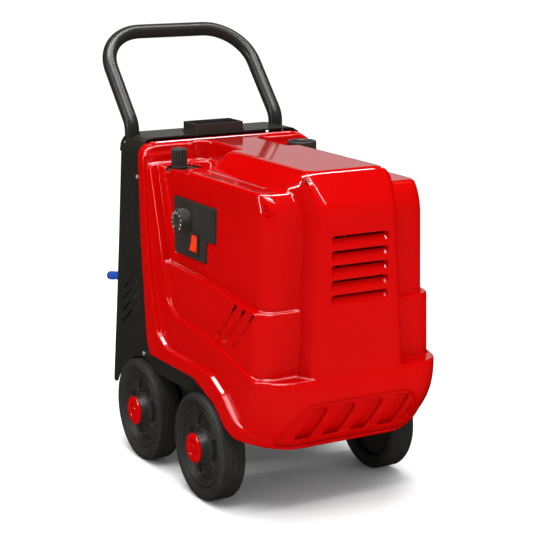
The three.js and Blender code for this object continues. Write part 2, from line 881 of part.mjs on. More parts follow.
const COIL = { turns: 6, radius: 68, z0: 215, z1: 500, pipe: 9 };

function motor() {
  const body = turned(
    [
      [0, -200],
      [30, -200],
      [70, -196],
      [72, -190],
      [72, -78],
      [66, -70],
      [0, -70],
    ],
    "x",
    20,
  ).rotateZ(radians(90));
  const foot = box(-50, 50, -180, -90, -84, -50);
  const terminalBox = box(-32, 32, -165, -105, 60, 92);
  const bore = turned(disc(8.4, -210, -150), "x").rotateZ(radians(90));
  return cut(join(body, foot, terminalBox), bore).translate(MOTOR.x, 0, MOTOR.z);
}

const MOTOR = { x: -30, z: 238 };

function fan() {
  const blades = Array.from({ length: 7 }, (_, i) =>
    box(-1.5, 1.5, -218, -206, 12, 62).rotateY(radians((360 / 7) * i)),
  );
  const boss = turned(disc(16, -219, -205), "x").rotateZ(radians(90));
  const shaft = turned(disc(8, -219, -160), "x").rotateZ(radians(90));
  return join(boss, shaft, ...blades).translate(MOTOR.x, 0, MOTOR.z);
}

function pump() {
  const block = box(-42, 42, -68, -8, -42, 42);
  const head = box(-34, 34, -8, 10, -30, 30);
  const caps = [-22, 0, 22].flatMap((x) =>
    [-50, 40].map((z) => turned(disc(8, z, z + 10), "z", 8).translate(x, -20, 0)),
  );
  return join(block, head, ...caps).translate(MOTOR.x, 0, MOTOR.z);
}

function burner() {
  const volute = turned(disc(58, 0, 70), "x", 20).translate(20, -110, 430);
  const snout = box(34, 80, -110, BOILER.y - BOILER.radius - 2, 440, 486);
  return join(volute, snout);
}

function hose(points, radius) {
  const path = new THREE.CatmullRomCurve3(points.map((p) => new THREE.Vector3(...p)));
  return tube(path, radius, 16, 8);
}

const SUCTION_ROUTE = [
  [-136, 110.6, 262],
  [-136, 92, 261],
  [-134, 50, 256],
  [-124, -8, 247],
  [-96, -28, 240],
  [-73, -30, 238],
];
const PRESSURE_ROUTE = [
  [13.2, -34, 238],
  [30, -36, 237],
  [76, -30, 231],
  [112, 20, 222],
  [119, 120, 217],
  [112, 196, 215],
  [110, 220.6, 215],
];

// ---- assembly -----------------------------------------------------------------------------
add("chassis", "blackPaint", chassis());
for (const [name, y] of [["front", WHEEL.frontY], ["rear", WHEEL.rearY]]) {
  const axle = turned(disc(AXLE.radius, -AXLE.endX, AXLE.endX), "x", 20);
  add(`axle_${name}`, "steel", axle.translate(0, y, WHEEL.radius));
  wheel(`${name}_left`, -1, y);
  wheel(`${name}_right`, 1, y);
}

add("hood", "red", hood());
const panel = sidePanel();
add("side_panel_right", "blackPaint", panel);
add("side_panel_left", "blackPaint", mirrorX(panel));
add("top_plate", "blackPaint", topPlate());
add("rear_panel", "blackPaint", rearPanel());
add("tool_tray", "blackPlastic", toolTray());
add("handle", "blackPaint", tube(handlePath(), HANDLE.radius, 44, 10));

for (const [side, sign] of [["left", -1], ["right", 1]]) {
  const turn = sign > 0 ? 0 : 180;
  const boltHead = (length, radius, y, z, x) =>
    turned(boltX(length, radius), "x", 10).translate(x, 0, 0).rotateZ(radians(turn)).translate(0, y, z);
  add(`hood_screw_upper_${side}`, "steel", boltHead(6, 4.4, 139, 555, panelX(555) + GAP));
  add(`hood_screw_lower_${side}`, "steel", boltHead(6, 4.4, 101, 214, panelX(214) + GAP));
}

add("control_plate", "blackPlastic", controlPlate());
add("thermostat_dial", "blackPlastic", dial());
add("thermostat", "steel", turned(disc(20, 10, 40), "x", 24).translate(CONTROL.x, DIAL.y, DIAL.z));
rockerSwitch();

const plateSeat = [KNOB_PLATE.x, KNOB_PLATE.y, 0];
const knobBore = turned(disc(4.6, 500, 600)).translate(KNOB.x, KNOB.y, 0);
const knobPlate = turned(disc(KNOB_PLATE.radius, KNOB_PLATE.top - KNOB_PLATE.thick, KNOB_PLATE.top));
add("knob_plate", "blackPlastic", cut(knobPlate.translate(...plateSeat), knobBore));
add("metering_knob", "blackPlastic", meteringKnob().translate(KNOB.x, KNOB.y, KNOB_PLATE.top));
const valve = box(-18, 18, -18, 18, 525, 562).translate(KNOB.x, KNOB.y, 0);
add("metering_valve", "brass", valve);

const fuelSeat = [FUEL.x, FUEL.y, 0];
const neck = turned(ring(FUEL.neckRadius - 3, FUEL.neckRadius, TANK.z1 + GAP, FUEL.neckTop));
const seal = turned(ring(FUEL.neckRadius - 3.2, FUEL.neckRadius, FUEL.neckTop + GAP, FUEL.neckTop + 2.6));
add("filler_neck", "blackPlastic", neck.translate(...fuelSeat));
add("fuel_cap", "blackPlastic", fuelCap().translate(...fuelSeat));
add("fuel_cap_seal", "rubber", seal.translate(...fuelSeat));
add("fuel_tank", "tank", fuelTank());

add("boiler_drum", "darkSteel", turned(boilerProfile(), "z", 20).translate(0, BOILER.y, 0));
add("heating_coil", "steel", tube(new Helix(), COIL.pipe, COIL.turns * 8, 6).translate(0, BOILER.y, 0));
add("motor", "motorPaint", motor());
add("motor_fan", "blackPlastic", fan());
add("pump", "brass", pump());
add("burner_blower", "blackPaint", burner());
add("suction_hose", "rubber", hose(SUCTION_ROUTE, 8));
add("pressure_hose", "rubber", hose(PRESSURE_ROUTE, 7));
add("float_tank", "tank", box(-168, -106, 112, 205, 240, 400));

const inlet = [[0, 0], [7, 0], [7, 24], [9, 24], [9, 128], [6, 134], [0, 134]];
const outlet = [[0, 0], [9, 0], [9, 24], [16, 24], [16, 40], [11, 42], [11, 62], [0, 62]];
const gland = [[0, 0], [7.6, 0], [7.6, 22], [14, 22], [14, 34], [9, 42], [6, 42], [6, 10], [0, 10]];
const rearward = (profile, x, y, z) => turned(profile, "x", 16).rotateZ(radians(90)).translate(x, y, z);
const drooping = turned(inlet, "x", 16).rotateZ(radians(90)).rotateX(radians(-INLET_DROOP));
add("water_inlet", "blue", drooping.translate(-155, 216, 341));
add("pressure_outlet", "brass", rearward(outlet, 110, 222, 215));
add("cable_gland", "blackPlastic", rearward(gland, 40, 222, 250));

export default machine;
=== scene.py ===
"""The looks of a hot-water pressure cleaner on a trolley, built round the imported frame.

Moulded pieces are described by signed distance fields in millimetres, turned into meshes here.
"""

import json
import math

import bmesh
import bpy
import numpy as np
from mathutils import Matrix, Quaternion, Vector


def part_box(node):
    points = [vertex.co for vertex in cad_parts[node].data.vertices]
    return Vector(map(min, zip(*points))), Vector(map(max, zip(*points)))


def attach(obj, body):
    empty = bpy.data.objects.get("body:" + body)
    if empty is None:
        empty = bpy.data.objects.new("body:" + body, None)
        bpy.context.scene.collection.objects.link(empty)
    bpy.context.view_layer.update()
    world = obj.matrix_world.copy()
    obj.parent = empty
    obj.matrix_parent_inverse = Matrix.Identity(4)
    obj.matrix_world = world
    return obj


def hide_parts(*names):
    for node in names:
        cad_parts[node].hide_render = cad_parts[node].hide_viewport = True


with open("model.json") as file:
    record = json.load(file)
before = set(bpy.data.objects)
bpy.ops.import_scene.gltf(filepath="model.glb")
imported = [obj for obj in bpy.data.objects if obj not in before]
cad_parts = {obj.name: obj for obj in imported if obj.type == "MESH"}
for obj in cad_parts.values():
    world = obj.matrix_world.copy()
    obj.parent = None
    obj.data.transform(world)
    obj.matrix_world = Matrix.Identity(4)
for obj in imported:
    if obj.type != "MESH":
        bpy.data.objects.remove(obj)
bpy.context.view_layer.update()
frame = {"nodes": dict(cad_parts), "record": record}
NODES = frame["nodes"]
MM = 0.001

# ---- fields: negative inside, positive outside ---------------------------------------------


def round_max(a, b, radius):
    """Both a and b, with the edge between them rounded."""
    edge = np.hypot(np.maximum(a + radius, 0), np.maximum(b + radius, 0))
    return np.minimum(np.maximum(a, b), -radius) + edge


def round_min(a, b, radius):
    """Either a or b, with the corner between them filled."""
    return -round_max(-a, -b, radius)


def carve(body, tool, radius=1.0):
    return round_max(body, -tool, radius)


def rounded(corners, steps=5):
    """Points of a closed outline whose corners [u, v, radius] are rounded."""
    points = []
    count = len(corners)
    for i, corner in enumerate(corners):
        here = np.array(corner[:2], float)
        radius = corner[2] if len(corner) > 2 else 0
        if not radius:
            points.append(here)
            continue
        back = np.array(corners[i - 1][:2], float) - here
        ahead = np.array(corners[(i + 1) % count][:2], float) - here
        back /= np.hypot(*back)
        ahead /= np.hypot(*ahead)
        reach = radius / math.tan(math.acos(float(back @ ahead)) / 2)
        for t in np.linspace(0, 1, steps):
            start, end = here + back * reach, here + ahead * reach
            points.append((1 - t) ** 2 * start + 2 * t * (1 - t) * here + t**2 * end)
    return np.array(points)


def inside_outline(points, u, v):
    """Signed distance to a closed outline."""
    distance = None
    sign = None
    for (bu, bv), (au, av) in zip(np.roll(points, 1, 0), points):
        eu, ev = bu - au, bv - av
        wu, wv = u - au, v - av
        t = np.clip((wu * eu + wv * ev) / max(eu * eu + ev * ev, 1e-9), 0, 1)
        square = (wu - eu * t) ** 2 + (wv - ev * t) ** 2
        above, below, left = v >= av, v < bv, eu * wv > ev * wu
        turn = np.where((above & below & left) | (~above & ~below & ~left), -1.0, 1.0)
        distance = square if distance is None else np.minimum(distance, square)
        sign = turn if sign is None else sign * turn
    return sign * np.sqrt(distance)


class Outline:
    """The signed distance to a closed outline in (u, v), looked up in a table."""

    PITCH = 1.5

    def __init__(self, points, low, high):
        self.low = low
        u, v = (np.arange(low[k], high[k] + 2 * self.PITCH, self.PITCH) for k in (0, 1))
        self.table = inside_outline(points, u[:, None], v[None, :]).astype(np.float32)

    def __call__(self, u, v):
        last_u, last_v = self.table.shape
        a = np.clip((u - self.low[0]) / self.PITCH, 0, last_u - 1.001)
        b = np.clip((v - self.low[1]) / self.PITCH, 0, last_v - 1.001)
        i, j = a.astype(int), b.astype(int)
        a, b = a - i, b - j
        near = self.table[i, j] * (1 - b) + self.table[i, j + 1] * b
        far = self.table[i + 1, j] * (1 - b) + self.table[i + 1, j + 1] * b
        return near * (1 - a) + far * a


# ---- fields into meshes --------------------------------------------------------------------


def surface_net(values, low, step):
    """Vertices and quads of the surface where a grid of values crosses zero."""
    inside = values < 0
    cells = np.array(values.shape) - 1
    total = np.zeros((*cells, 3), np.float32)
    count = np.zeros(cells, np.int32)
    crossings = []
    for axis in range(3):
        head = [slice(None)] * 3
        tail = [slice(None)] * 3
        head[axis], tail[axis] = slice(0, -1), slice(1, None)
        head, tail = tuple(head), tuple(tail)
        where = np.argwhere(inside[head] != inside[tail])
        a = values[head][tuple(where.T)]
        b = values[tail][tuple(where.T)]
        place = where.astype(np.float32)
        place[:, axis] += a / (a - b)
        others = [k for k in range(3) if k != axis]
        for shift in ((0, 0), (0, -1), (-1, 0), (-1, -1)):
            cell = where.copy()
            cell[:, others[0]] += shift[0]
            cell[:, others[1]] += shift[1]
            fits = np.all((cell >= 0) & (cell < cells), 1)
            index = tuple(cell[fits].T)
            np.add.at(total, index, place[fits])
            np.add.at(count, index, 1)
        crossings.append((axis, others, where, a < 0))
    number = np.full(cells, -1, np.int64)
    used = count > 0
    number[used] = np.arange(used.sum())
    points = np.array(low) + step * total[used] / count[used][:, None]
    quads = []
    for axis, others, where, leaving in crossings:
        ring = []
        for shift in ((0, 0), (-1, 0), (-1, -1), (0, -1)):
            cell = where.copy()
            cell[:, others[0]] += shift[0]
            cell[:, others[1]] += shift[1]
            ring.append(number[tuple(cell.T)])
        quad = np.stack(ring, 1)
        flip = leaving if axis == 1 else ~leaving
        quad[flip] = quad[flip][:, ::-1]
        quads.append(quad)
    return points, np.concatenate(quads)


def gradient(field, points, reach=0.6):
    slopes = []
    for axis in range(3):
        offset = np.zeros(3)
        offset[axis] = reach
        ahead = field(*(points + offset).T)
        slopes.append((ahead - field(*(points - offset).T)) / (2 * reach))
    return np.stack(slopes, 1)


def settled(field, points, limit):
    """Points moved onto the surface, none further than limit."""
    slope = gradient(field, points)
    size = np.maximum((slope**2).sum(1), 0.2)
    move = -slope * (field(*points.T) / size)[:, None]
    length = np.maximum(np.sqrt((move**2).sum(1)), 1e-9)
    return points + move * np.minimum(1, limit / length)[:, None]


def mesh_object(name, points, faces):
    """A mesh from points in millimetres."""
    mesh = bpy.data.meshes.new(name)
    mesh.from_pydata((np.asarray(points) * MM).tolist(), [], [list(map(int, f)) for f in faces])
    mesh.update()
    piece = bpy.data.objects.new(name, mesh)
    bpy.context.scene.collection.objects.link(piece)
    return piece


def moulded(field, low, high, step, keep):
    """Points, faces and normals of a field's surface, with fewer faces where it is flat."""
    low = np.array(low, float) - 1.5 * step
    axes = [np.arange(low[k], high[k] + 1.5 * step, step) for k in range(3)]
    x, y, z = np.meshgrid(*axes, indexing="ij", sparse=True)
    values = np.broadcast_to(field(x, y, z), [len(a) for a in axes]).astype(np.float32)
    points, quads = surface_net(values, low, step)
    piece = mesh_object("moulding", points, quads)
    piece.modifiers.new("fewer_faces", "DECIMATE").ratio = keep
    graph = bpy.context.evaluated_depsgraph_get()
    mesh = piece.evaluated_get(graph).to_mesh()
    places = np.empty(len(mesh.vertices) * 3, np.float32)
    mesh.vertices.foreach_get("co", places)
    faces = [tuple(face.vertices) for face in mesh.polygons]
    piece.evaluated_get(graph).to_mesh_clear()
    bpy.data.objects.remove(piece)
    points = settled(field, places.reshape(-1, 3).astype(float) / MM, 0.5 * step)
    points = settled(field, points, 0.25 * step)
    return points, faces, gradient(field, points)


def moulding(name, shape, matrix=None):
    """A piece from the points, faces and normals of a moulded shape, turned and moved by matrix."""
    points, faces, normals = shape
    if matrix is not None:
        turn = np.array(matrix.to_3x3())
        points = points @ turn.T + np.array(matrix.translation)
        normals = normals @ turn.T
    piece = mesh_object(name, points, faces)
    mesh = piece.data
    mesh.shade_smooth()
    length = np.maximum(np.sqrt((normals**2).sum(1)), 1e-6)
    mesh.normals_split_custom_set_from_vertices((normals / length[:, None]).tolist())
    mesh.update()
    return piece


# ---- turned and swept pieces ---------------------------------------------------------------
SHARP = math.radians(32)


def finished(piece):
    """Faces turned outwards, smooth except across sharp edges."""
    shape = bmesh.new()
    shape.from_mesh(piece.data)
    bmesh.ops.recalc_face_normals(shape, faces=shape.faces)
    shape.to_mesh(piece.data)
    shape.free()
    piece.data.shade_smooth()
    piece.data.set_sharp_from_angle(angle=SHARP)
    return piece


def turned(name, corners, matrix, sides=72, flutes=0, depth=0.0, fluted=(0, 0)):
    """A turned piece from corners [radius, height, rounding] about its own Z axis.

    The outline runs from axis to axis, or closes on itself. Flutes are cut where the radius and
    height lie outside the two values of fluted.
    """
    outline = rounded(corners, 6)
    angles = np.linspace(0, 2 * math.pi, sides, endpoint=False)
    wave = (0.5 + 0.5 * np.cos(flutes * angles)) ** 3 if flutes else np.zeros(sides)
    points = []
    for radius, height in outline:
        cut = depth if radius > fluted[0] and height > fluted[1] else 0
        reach = np.maximum(radius - cut * wave, 0)
        points += [matrix @ Vector((r * math.cos(t), r * math.sin(t), height)) for r, t in zip(reach, angles)]
    faces = []
    count = len(outline)
    for i in range(count):
        k = (i + 1) % count
        if outline[i][0] < 1e-6 and outline[k][0] < 1e-6:
            continue
        for j in range(sides):
            n = (j + 1) % sides
            faces.append((i * sides + j, i * sides + n, k * sides + n, k * sides + j))
    piece = mesh_object(name, points, faces)
    shape = bmesh.new()
    shape.from_mesh(piece.data)
    bmesh.ops.remove_doubles(shape, verts=shape.verts, dist=1e-6)
    shape.to_mesh(piece.data)
    shape.free()
    return finished(piece)


def bent_line(corners, steps=14):
    """Points along a bent tube through corners [x, y, z, bend radius]."""
    places = [Vector(c[:3]) for c in corners]
    line = [places[0]]
    for at, before, after, corner in zip(places[1:], places, places[2:], corners[1:]):
        back = (before - at).normalized()
        ahead = (after - at).normalized()
        opening = back.angle(ahead)
        start = at + back * corner[3] / math.tan(opening / 2)
        middle = at + (back + ahead).normalized() * corner[3] / math.sin(opening / 2)
        spin = (start - middle).cross(back * -1)
        sweep = math.pi - opening
        for k in range(steps + 1):
            turn = Quaternion(spin, sweep * k / steps)
            line.append(middle + turn @ (start - middle))
    line.append(places[-1])
    return line


def swept(name, line, radius, sides=28):
    """A round bar along a line of points."""
    points = []
    side = None
    for i, place in enumerate(line):
        ahead = (line[min(i + 1, len(line) - 1)] - line[max(i - 1, 0)]).normalized()
        side = ahead.orthogonal() if side is None else side - ahead * side.dot(ahead)
        side.normalize()
        other = ahead.cross(side)
        for t in np.linspace(0, 2 * math.pi, sides, endpoint=False):
            points.append(place + radius * (math.cos(t) * side + math.sin(t) * other))
    faces = [tuple(range(sides)), tuple(range(len(points) - sides, len(points)))]
    for i in range(len(line) - 1):
        for j in range(sides):
            n = (j + 1) % sides
            faces.append((i * sides + j, i * sides + n, (i + 1) * sides + n, (i + 1) * sides + j))
    return finished(mesh_object(name, points, faces))


def at(x, y, z, *turns):
    """A matrix that turns by (degrees, axis) pairs, the last one first, then moves."""
    matrix = Matrix.Translation((x, y, z))
    for degrees, axis in turns:
        matrix = matrix @ Matrix.Rotation(math.radians(degrees), 4, axis)
    return matrix


# ---- hood ----------------------------------------------------------------------------------
DRAFT, DRAFT_LEVEL = 0.00016, 600
BAND_HALF, LOWER_HALF, MIDDLE_HALF, UPPER_HALF = 186, 178, 173, 167
RIM_FRONT, RIM_BACK, RIM_TOP = 110, 135, 630
NOSE_FRONT, NOSE_LEVEL, NOSE_BOTTOM, BUMPER_TOP = -374.6, 232, 130, 268
COLUMN_FRONT, SHOULDER_TOP, PLATEAU_TOP, POCKET_FLOOR = -370, 588.5, 622, 584
WALL = 6.0
AWAY = -520
HOOD_LOW, HOOD_HIGH = (-205, -390, 115), (205, 150, 645)

REAR_EDGE = [[134, 604], [116, 437], [84, 246]]
LOWER_EDGE = [[67, 219.5, 8], [-114, 220.6, 30], [-156, 207, 30], [-200, 192, 30], [-262, 146, 20], [-300, 138, 20]]
BAND_INNER = [
    [-312, 157, 60],
    [-231, 220, 60],
    [-173, 247, 60],
    [-3, 249, 40],
    [34, 269, 24],
    [64, 351],
    [92, 481],
    [106, 600, 6],
]
LOWER_STEP = [[-318, 270, 60], [-227, 290, 60], [-129, 309, 60], [-31, 313, 24], [8, 337, 30]]
UPPER_STEP = [[-312, 386, 60], [-248, 392, 60], [-112, 405, 60], [31, 410]]
CONTROL_OUTLINE = [[13, 432], [13, 537], [-150, 537], [-150, 474], [-114, 473, 4], [-113, 432]]
KNOB_HOLE = (-128, 49, 33.2)
NECK_HOLE = (128, 47, 25.5)
LOUVRES, LOUVRE_TOP, LOUVRE_PITCH, LOUVRE_HALF = 5, 516, 25.8, 57
LOUVRE_HEIGHT, LOUVRE_DEPTH, SLIT_HALF = 18, 11, 2.4
GROOVES, GROOVE_PITCH, GROOVE_DEPTH = 3, 30, 3.2
RECESS_DEPTH, SLANT_DEPTH, SLANT_PITCH = 9, 19, 57


def moved(corners, du, dv):
    return [[c[0] + du, c[1] + dv, *c[2:]] for c in corners]


def side_table(corners):
    return Outline(rounded(corners), HOOD_LOW[1:], HOOD_HIGH[1:])


def hood_outlines(extra):
    """Side outlines in (y, z). extra pushes the open rear and lower edges outwards."""
    rear = moved(REAR_EDGE, extra, 0)
    lower = moved(LOWER_EDGE, 0, -extra)
    lower[0][0] += extra
    bottom = [AWAY, NOSE_BOTTOM]
    below = [lower[-1][0] - 8, NOSE_BOTTOM - extra] if extra else [-326, NOSE_BOTTOM]
    floor = [below, [below[0], NOSE_BOTTOM], bottom] if extra else [below, bottom]
    edge = [*rear, *lower, *floor]
    band = [[RIM_BACK + extra, RIM_TOP + 60], *edge, [AWAY, 152], *BAND_INNER]
    band += [[RIM_FRONT, 606], [RIM_FRONT, RIM_TOP + 60]]
    under = [*edge, [AWAY, BUMPER_TOP], *LOWER_STEP, [54, 476], [91, 580], [91, 640]]
    middle = [[88, 280], [AWAY, 240], [AWAY, 382], *UPPER_STEP, [96, 411]]
    upper = [[96, 330], [AWAY, 330], [AWAY, 700], [RIM_FRONT + 8, 700]]
    return [side_table(o) for o in (band, [[RIM_BACK - 8 + extra, 640], *under], middle, upper)]


OUTER_OUTLINES = hood_outlines(0)
INNER_OUTLINES = hood_outlines(24)


def nose(y, z):
    """Distance in front of the bumper's face, which curls under."""
    drop = np.maximum(NOSE_LEVEL - z, 0) / (NOSE_LEVEL - NOSE_BOTTOM)
    rise = np.maximum(z - NOSE_LEVEL, 0) / (BUMPER_TOP - NOSE_LEVEL)
    slope = 100 * drop / (NOSE_LEVEL - NOSE_BOTTOM)
    return (NOSE_FRONT + 50 * drop**2 + 4 * rise**2 - y) / np.sqrt(1 + slope**2)


def centre_column(half, y, z):
    """The raised column at the front and the plateau it carries back to the rim."""
    width = 86 - 14 * np.clip((z - 300) / 264, -0.2, 1.3)
    flank = ((half - width) * 33 - (y - COLUMN_FRONT) * 15) / 36.2
    slope_side = ((half - 78) * 33 + (z - PLATEAU_TOP) * 42) / 53.4
    slope_front = (-(y + 322) * 64 + (z - PLATEAU_TOP) * 48) / 80
    crown = round_max(round_max(slope_front, slope_side, 16), z - PLATEAU_TOP, 7)
    column = round_max(round_max(flank, COLUMN_FRONT - y, 10), crown, 12)
    column = np.maximum(column, np.minimum(y + 300, 560 - z))
    return np.maximum(np.maximum(column, 240 - z), y - RIM_FRONT - 8)


def hood_block(x, y, z, outlines):
    band_side, lower_side, middle_side, upper_side = (outline(y, z) for outline in outlines)
    half = np.abs(x) / (1 + DRAFT * (DRAFT_LEVEL - z))
    turn = 60 + 34 * np.clip((BUMPER_TOP - z) / 110, 0, 1)
    face = nose(y, z)

    arch = round_max(half - BAND_HALF, z - RIM_TOP, 38)
    band = round_max(round_max(arch, face + 5, turn), band_side, 4)
    lower = round_max(half - LOWER_HALF, z - SHOULDER_TOP + 3, 10)
    lower = round_max(round_max(lower, face, turn), lower_side, 4)

    broad = round_max(half - MIDDLE_HALF, -337 - y, 34)
    middle = round_max(broad, middle_side, 4)

    broad = round_max(half - UPPER_HALF, -329 - y, 34)
    slope_front = (-(y + 306) * 33 + (z - SHOULDER_TOP) * 24) / 40.8
    top_edge = round_max(round_max(half - UPPER_HALF + 3, slope_front, 24), z - SHOULDER_TOP, 7)
    shoulder = round_max(round_max(broad, top_edge, 12), upper_side, 1)
    upper = round_min(centre_column(half, y, z), shoulder, 5)

    inner_wall = round_max(round_max(48 - half, y - RIM_FRONT, 45), -38 - y, 12)
    upper = carve(upper, round_max(inner_wall, POCKET_FLOOR - z, 5), 3.5)
    body = round_min(round_min(middle, upper, 3), lower, 3)
    return round_min(body, band, 3)


def front_table(corners):
    return Outline(rounded(corners, 8), (HOOD_LOW[0], HOOD_LOW[2]), (HOOD_HIGH[0], 300))


def slanted_pocket(index):
    middle = (index - 1.5) * SLANT_PITCH
    corners = [[-25, 154, 5], [7, 154, 5], [28, 213, 5], [-2, 213, 5]]
    return front_table(moved(corners, middle, 0))


RECESS = front_table([[-156, 141, 22], [-112, 226, 46], [112, 226, 46], [156, 141, 22]])
SLANTS = [slanted_pocket(i) for i in range(4)]


def hood_solid(x, y, z, outlines):
    body = hood_block(x, y, z, outlines)
    recess = round_max(RECESS(x, z), -(body + RECESS_DEPTH), 6)
    sunk = carve(body, round_max(recess, y + 230, 1), 3)
    for slant in SLANTS:
        pocket = round_max(slant(x, z), -(body + SLANT_DEPTH), 6)
        sunk = carve(sunk, round_max(pocket, y + 230, 1), 2)
    return sunk


def side_groove(index):
    y, z = -252 - GROOVE_PITCH * index, 392 - 3 * index
    corners = [[y - 1, z - 5, 3], [y + 9, z - 5, 3], [y + 81, z - 79, 3], [y + 71, z - 79, 3]]
    return Outline(rounded(corners), HOOD_LOW[1:], HOOD_HIGH[1:])


def louvre_side(index):
    top = LOUVRE_TOP - index * LOUVRE_PITCH
    front, deep = COLUMN_FRONT - 1, COLUMN_FRONT + LOUVRE_DEPTH
    corners = [[front - 14, top], [front - 14, top - 28], [front, top - LOUVRE_HEIGHT], [deep, top - 3], [deep, top]]
    return side_table(corners)


GROOVE_SIDES = [side_groove(i) for i in range(GROOVES)]
LOUVRE_SIDES = [louvre_side(i) for i in range(LOUVRES)]
WINDOW = Outline(rounded(CONTROL_OUTLINE), HOOD_LOW[1:], HOOD_HIGH[1:])


def hood_field(x, y, z):
    outer = hood_solid(x, y, z, OUTER_OUTLINES)
    inner = hood_solid(x, y, z, INNER_OUTLINES) + WALL
    for side in GROOVE_SIDES:
        groove = round_max(side(y, z), -(outer + GROOVE_DEPTH), 1.5)
        outer = carve(outer, np.maximum(groove, 120 - np.abs(x)), 2.5)
    slits = []
    for i, side in enumerate(LOUVRE_SIDES):
        wedge = round_max(side(y, z), np.abs(x) - LOUVRE_HALF, 5)
        outer = carve(outer, wedge, 2)
        inner = round_max(inner, WALL - wedge, 1)
        middle = LOUVRE_TOP - i * LOUVRE_PITCH - SLIT_HALF
        across = np.maximum(np.abs(z - middle) - SLIT_HALF, np.abs(x) - LOUVRE_HALF + 3)
        slits.append(np.maximum(across, np.abs(y - COLUMN_FRONT - LOUVRE_DEPTH) - 10))
    shell = carve(outer, inner, 0.8)
    for slit in slits:
        shell = carve(shell, slit, 0.8)
    for hole_x, hole_y, radius in (KNOB_HOLE, NECK_HOLE):
        hole = np.hypot(x - hole_x, y - hole_y) - radius
        shell = carve(shell, round_max(hole, 577 - z, 1), 1)
    return carve(shell, np.maximum(WINDOW(y, z) - 0.4, x + 120), 1)


# ---- looks ---------------------------------------------------------------------------------


def node(tree, kind, inputs=None, **settings):
    made = tree.nodes.new(kind)
    for key, value in settings.items():
        setattr(made, key, value)
    for key, value in (inputs or {}).items():
        if isinstance(value, bpy.types.NodeSocket):
            tree.links.new(value, made.inputs[key])
        else:
            made.inputs[key].default_value = value
    return made


def shade(color, factor):
    return (*[min(1.0, c * factor) for c in color[:3]], 1)


def finish_of(name, color, roughness, grain, depth, metallic=0.0, spread=0.12, rough_spread=0.1, coat=0.0, glow=0.0):
    """A procedural finish: colour and roughness vary in patches, and a fine grain lifts the surface."""
    made = bpy.data.materials.new(name)
    made.use_nodes = True
    made.diffuse_color = (*color[:3], 1)
    tree = made.node_tree
    shader = tree.nodes["Principled BSDF"]
    where = node(tree, "ShaderNodeTexCoord").outputs["Object"]
    patches = node(tree, "ShaderNodeTexNoise", {"Vector": where, "Scale": 7.0, "Detail": 5.0, "Roughness": 0.6})
    tint = node(tree, "ShaderNodeValToRGB", {"Fac": patches.outputs["Fac"]})
    tint.color_ramp.elements[0].position = 0.3
    tint.color_ramp.elements[0].color = shade(color, 1 - spread)
    tint.color_ramp.elements[1].position = 0.7
    tint.color_ramp.elements[1].color = shade(color, 1 + spread)
    tree.links.new(tint.outputs["Color"], shader.inputs["Base Color"])
    wear = node(tree, "ShaderNodeTexNoise", {"Vector": where, "Scale": 38.0, "Detail": 6.0, "Roughness": 0.65})
    span = node(
        tree,
        "ShaderNodeMapRange",
        {
            "Value": wear.outputs["Fac"],
            "From Min": 0.3,
            "From Max": 0.7,
            "To Min": roughness * (1 - rough_spread),
            "To Max": min(1.0, roughness * (1 + rough_spread)),
        },
    )
    tree.links.new(span.outputs["Result"], shader.inputs["Roughness"])
    fine = node(tree, "ShaderNodeTexNoise", {"Vector": where, "Scale": grain, "Detail": 3.0, "Roughness": 0.5})
    bump = node(
        tree, "ShaderNodeBump", {"Height": fine.outputs["Fac"], "Strength": 1.0, "Distance": depth}
    )
    tree.links.new(bump.outputs["Normal"], shader.inputs["Normal"])
    shader.inputs["Metallic"].default_value = metallic
    if coat:
        shader.inputs["Coat Weight"].default_value = coat
        shader.inputs["Coat Roughness"].default_value = 0.04
    if glow:
        shader.inputs["Emission Color"].default_value = (*color[:3], 1)
        shader.inputs["Emission Strength"].default_value = glow
    return made


LOOKS = {
    "red": finish_of("gloss_red", (0.5, 0.0004, 0.0002), 0.12, 260, 0.00001, spread=0.03, coat=1.0),
    "black_plastic": finish_of("satin_black_plastic", (0.028, 0.025, 0.021), 0.4, 900, 0.00006),
    "black_paint": finish_of("powder_coat", (0.017, 0.015, 0.012), 0.3, 700, 0.00003),
    "rubber": finish_of("tyre_rubber", (0.022, 0.021, 0.019), 0.5, 600, 0.0001, spread=0.3),
    "seal": finish_of("seal_rubber", (0.03, 0.03, 0.03), 0.7, 600, 0.0001),
    "steel": finish_of("zinc_plate", (0.62, 0.61, 0.59), 0.3, 500, 0.00003, metallic=0.7, rough_spread=0.3),
    "dark_steel": finish_of("heat_paint", (0.11, 0.11, 0.115), 0.55, 500, 0.00006),
    "brass": finish_of("machined_brass", (0.56, 0.4, 0.15), 0.3, 500, 0.00003, metallic=1.0),
    "blue": finish_of("blue_plastic", (0.012, 0.06, 0.36), 0.3, 500, 0.00003),
    "lens": finish_of("lit_lens", (0.75, 0.03, 0.002), 0.2, 500, 0.00003, glow=0.1),
    "tank": finish_of("blow_moulded", (0.62, 0.6, 0.53), 0.5, 300, 0.0001),
    "motor_paint": finish_of("hammer_paint", (0.05, 0.065, 0.085), 0.4, 250, 0.0003),
}
SLOT_OF = {row["node"]: row["material_slot"] for row in frame["record"]["subparts"]}


def dress(piece, body, slot, *stands_for):
    piece.data.materials.clear()
    piece.data.materials.append(LOOKS[slot])
    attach(piece, body)
    if stands_for:
        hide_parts(*stands_for)
    return piece


for name, cad in NODES.items():
    cad.data.materials.clear()
    cad.data.materials.append(LOOKS[SLOT_OF[name]])

BEVELLED = {
    "side_panel_left": 0.8,
    "side_panel_right": 0.8,
    "top_plate": 0.8,
    "rear_panel": 0.8,
    "control_plate": 0.6,
    "tool_tray": 1.0,
    "rocker_bezel": 0.7,
    "rocker_switch": 1.2,
    "chassis": 0.8,
    "axle_front": 1.0,
    "axle_rear": 1.0,
}


